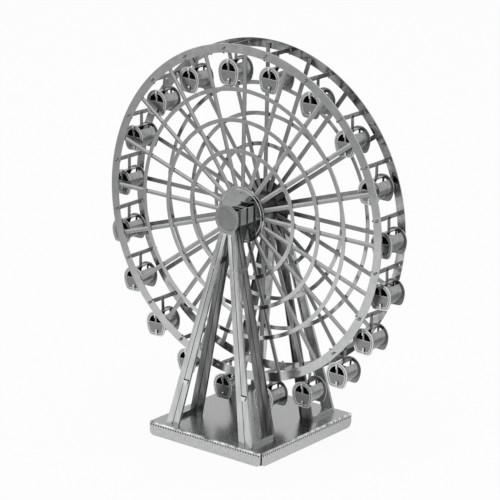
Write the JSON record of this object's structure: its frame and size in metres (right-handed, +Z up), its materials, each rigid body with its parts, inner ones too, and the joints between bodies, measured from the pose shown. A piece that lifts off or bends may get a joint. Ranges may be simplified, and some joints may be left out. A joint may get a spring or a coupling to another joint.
{
  "type": "ferris wheel toy",
  "caption": "Folded sheet-steel ferris wheel toy: a wheel with hanging cabins turns on an axle between two A-frame towers on a tray base.",
  "frame": {"origin": "middle of the base's footprint, on the surface the tray stands on", "axes": "+Z up, X along the wheel's face, Y along the axle with the front towards -Y"},
  "size_m": [0.1098, 0.047, 0.1255],
  "materials": {
    "bright_sheet": "bright rolled steel sheet",
    "satin_sheet": "satin steel sheet with a fine speckle",
    "polished_disc": "polished steel disc with a pressed line",
    "cabin_sheet": "bright curled steel sheet",
    "etched_plate": "steel plate with etched outlines",
    "axle_rod": "drawn steel rod"
  },
  "bodies": {
    "root": {"base_tray": "satin_sheet", "front_outer_legs": "bright_sheet", "front_inner_legs": "bright_sheet", "back_outer_legs": "bright_sheet", "back_inner_legs": "bright_sheet", "foot_straps": "bright_sheet", "tie_plates": "bright_sheet", "front_bearing_box": "bright_sheet", "back_bearing_box": "bright_sheet", "bearing_caps": "polished_disc"},
    "wheel": {"axle": "axle_rod", "front_hub_disc": "polished_disc", "front_rim": "bright_sheet", "front_hoops": "bright_sheet", "front_spokes": "bright_sheet", "back_hub_disc": "polished_disc", "back_rim": "bright_sheet", "back_hoops": "bright_sheet", "back_spokes": "bright_sheet"},
    "cabin_01": {"cabin_01_shell": "cabin_sheet", "cabin_01_ends": "etched_plate"},
    "cabin_02": {"cabin_02_shell": "cabin_sheet", "cabin_02_ends": "etched_plate"},
    "cabin_03": {"cabin_03_shell": "cabin_sheet", "cabin_03_ends": "etched_plate"},
    "cabin_04": {"cabin_04_shell": "cabin_sheet", "cabin_04_ends": "etched_plate"},
    "cabin_05": {"cabin_05_shell": "cabin_sheet", "cabin_05_ends": "etched_plate"},
    "cabin_06": {"cabin_06_shell": "cabin_sheet", "cabin_06_ends": "etched_plate"},
    "cabin_07": {"cabin_07_shell": "cabin_sheet", "cabin_07_ends": "etched_plate"},
    "cabin_08": {"cabin_08_shell": "cabin_sheet", "cabin_08_ends": "etched_plate"},
    "cabin_09": {"cabin_09_shell": "cabin_sheet", "cabin_09_ends": "etched_plate"},
    "cabin_10": {"cabin_10_shell": "cabin_sheet", "cabin_10_ends": "etched_plate"},
    "cabin_11": {"cabin_11_shell": "cabin_sheet", "cabin_11_ends": "etched_plate"},
    "cabin_12": {"cabin_12_shell": "cabin_sheet", "cabin_12_ends": "etched_plate"},
    "cabin_13": {"cabin_13_shell": "cabin_sheet", "cabin_13_ends": "etched_plate"},
    "cabin_14": {"cabin_14_shell": "cabin_sheet", "cabin_14_ends": "etched_plate"},
    "cabin_15": {"cabin_15_shell": "cabin_sheet", "cabin_15_ends": "etched_plate"},
    "cabin_16": {"cabin_16_shell": "cabin_sheet", "cabin_16_ends": "etched_plate"},
    "cabin_17": {"cabin_17_shell": "cabin_sheet", "cabin_17_ends": "etched_plate"},
    "cabin_18": {"cabin_18_shell": "cabin_sheet", "cabin_18_ends": "etched_plate"},
    "cabin_19": {"cabin_19_shell": "cabin_sheet", "cabin_19_ends": "etched_plate"},
    "cabin_20": {"cabin_20_shell": "cabin_sheet", "cabin_20_ends": "etched_plate"}
  },
  "joints": [
    {"name": "wheel_spin", "type": "hinge", "parent": "root", "child": "wheel", "pos_m": [0, 0, 0.0725], "axis": [0, 1, 0], "continuous": true},
    {"name": "cabin_01_swing", "type": "hinge", "parent": "wheel", "child": "cabin_01", "pos_m": [-0.00754, 0, 0.12355], "axis": [0, 1, 0], "continuous": true},
    {"name": "cabin_02_swing", "type": "hinge", "parent": "wheel", "child": "cabin_02", "pos_m": [0.00861, 0, 0.12338], "axis": [0, 1, 0], "continuous": true},
    {"name": "cabin_03_swing", "type": "hinge", "parent": "wheel", "child": "cabin_03", "pos_m": [0.02391, 0, 0.11823], "axis": [0, 1, 0], "continuous": true},
    {"name": "cabin_04_swing", "type": "hinge", "parent": "wheel", "child": "cabin_04", "pos_m": [0.03687, 0, 0.1086], "axis": [0, 1, 0], "continuous": true},
    {"name": "cabin_05_swing", "type": "hinge", "parent": "wheel", "child": "cabin_05", "pos_m": [0.04622, 0, 0.09544], "axis": [0, 1, 0], "continuous": true},
    {"name": "cabin_06_swing", "type": "hinge", "parent": "wheel", "child": "cabin_06", "pos_m": [0.05105, 0, 0.08004], "axis": [0, 1, 0], "continuous": true},
    {"name": "cabin_07_swing", "type": "hinge", "parent": "wheel", "child": "cabin_07", "pos_m": [0.05088, 0, 0.06389], "axis": [0, 1, 0], "continuous": true},
    {"name": "cabin_08_swing", "type": "hinge", "parent": "wheel", "child": "cabin_08", "pos_m": [0.04573, 0, 0.04859], "axis": [0, 1, 0], "continuous": true},
    {"name": "cabin_09_swing", "type": "hinge", "parent": "wheel", "child": "cabin_09", "pos_m": [0.0361, 0, 0.03563], "axis": [0, 1, 0], "continuous": true},
    {"name": "cabin_10_swing", "type": "hinge", "parent": "wheel", "child": "cabin_10", "pos_m": [0.02294, 0, 0.02628], "axis": [0, 1, 0], "continuous": true},
    {"name": "cabin_11_swing", "type": "hinge", "parent": "wheel", "child": "cabin_11", "pos_m": [0.00754, 0, 0.02145], "axis": [0, 1, 0], "continuous": true},
    {"name": "cabin_12_swing", "type": "hinge", "parent": "wheel", "child": "cabin_12", "pos_m": [-0.00861, 0, 0.02162], "axis": [0, 1, 0], "continuous": true},
    {"name": "cabin_13_swing", "type": "hinge", "parent": "wheel", "child": "cabin_13", "pos_m": [-0.02391, 0, 0.02677], "axis": [0, 1, 0], "continuous": true},
    {"name": "cabin_14_swing", "type": "hinge", "parent": "wheel", "child": "cabin_14", "pos_m": [-0.03687, 0, 0.0364], "axis": [0, 1, 0], "continuous": true},
    {"name": "cabin_15_swing", "type": "hinge", "parent": "wheel", "child": "cabin_15", "pos_m": [-0.04622, 0, 0.04956], "axis": [0, 1, 0], "continuous": true},
    {"name": "cabin_16_swing", "type": "hinge", "parent": "wheel", "child": "cabin_16", "pos_m": [-0.05105, 0, 0.06496], "axis": [0, 1, 0], "continuous": true},
    {"name": "cabin_17_swing", "type": "hinge", "parent": "wheel", "child": "cabin_17", "pos_m": [-0.05088, 0, 0.08111], "axis": [0, 1, 0], "continuous": true},
    {"name": "cabin_18_swing", "type": "hinge", "parent": "wheel", "child": "cabin_18", "pos_m": [-0.04573, 0, 0.09641], "axis": [0, 1, 0], "continuous": true},
    {"name": "cabin_19_swing", "type": "hinge", "parent": "wheel", "child": "cabin_19", "pos_m": [-0.0361, 0, 0.10937], "axis": [0, 1, 0], "continuous": true},
    {"name": "cabin_20_swing", "type": "hinge", "parent": "wheel", "child": "cabin_20", "pos_m": [-0.02294, 0, 0.11872], "axis": [0, 1, 0], "continuous": true}
  ],
  "couplings": [
    {"joint": "cabin_01_swing", "follows": "wheel_spin", "ratio": -1},
    {"joint": "cabin_02_swing", "follows": "wheel_spin", "ratio": -1},
    {"joint": "cabin_03_swing", "follows": "wheel_spin", "ratio": -1},
    {"joint": "cabin_04_swing", "follows": "wheel_spin", "ratio": -1},
    {"joint": "cabin_05_swing", "follows": "wheel_spin", "ratio": -1},
    {"joint": "cabin_06_swing", "follows": "wheel_spin", "ratio": -1},
    {"joint": "cabin_07_swing", "follows": "wheel_spin", "ratio": -1},
    {"joint": "cabin_08_swing", "follows": "wheel_spin", "ratio": -1},
    {"joint": "cabin_09_swing", "follows": "wheel_spin", "ratio": -1},
    {"joint": "cabin_10_swing", "follows": "wheel_spin", "ratio": -1},
    {"joint": "cabin_11_swing", "follows": "wheel_spin", "ratio": -1},
    {"joint": "cabin_12_swing", "follows": "wheel_spin", "ratio": -1},
    {"joint": "cabin_13_swing", "follows": "wheel_spin", "ratio": -1},
    {"joint": "cabin_14_swing", "follows": "wheel_spin", "ratio": -1},
    {"joint": "cabin_15_swing", "follows": "wheel_spin", "ratio": -1},
    {"joint": "cabin_16_swing", "follows": "wheel_spin", "ratio": -1},
    {"joint": "cabin_17_swing", "follows": "wheel_spin", "ratio": -1},
    {"joint": "cabin_18_swing", "follows": "wheel_spin", "ratio": -1},
    {"joint": "cabin_19_swing", "follows": "wheel_spin", "ratio": -1},
    {"joint": "cabin_20_swing", "follows": "wheel_spin", "ratio": -1}
  ]
}
